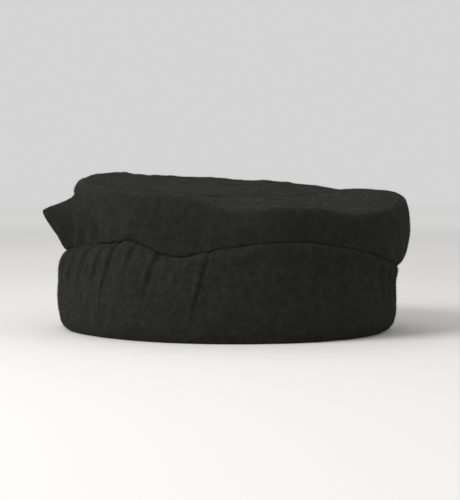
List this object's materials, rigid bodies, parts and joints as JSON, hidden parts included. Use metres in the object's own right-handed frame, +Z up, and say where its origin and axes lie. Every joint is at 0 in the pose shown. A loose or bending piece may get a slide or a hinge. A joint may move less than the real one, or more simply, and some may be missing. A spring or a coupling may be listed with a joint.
{
  "type": "pakol hat",
  "caption": "Soft round pakol hat of black fulled wool: a rolled rim, a puffed side wall with a pointed fold, and a round crown panel.",
  "frame": {"origin": "on the surface that the hat rests on, under the middle of its outline", "axes": "+Z up through the crown, -Y the front of the hat, +X the wearer's left"},
  "size_m": [0.2262, 0.2314, 0.1023],
  "materials": {
    "rim_wool": "matte fulled wool, charcoal black",
    "bag_wool": "matte fulled wool, charcoal black",
    "crown_wool": "matte fulled wool, charcoal black"
  },
  "bodies": {
    "root": {"rolled_rim": "rim_wool", "side_wall": "bag_wool", "crown_top": "crown_wool"}
  },
  "joints": []
}
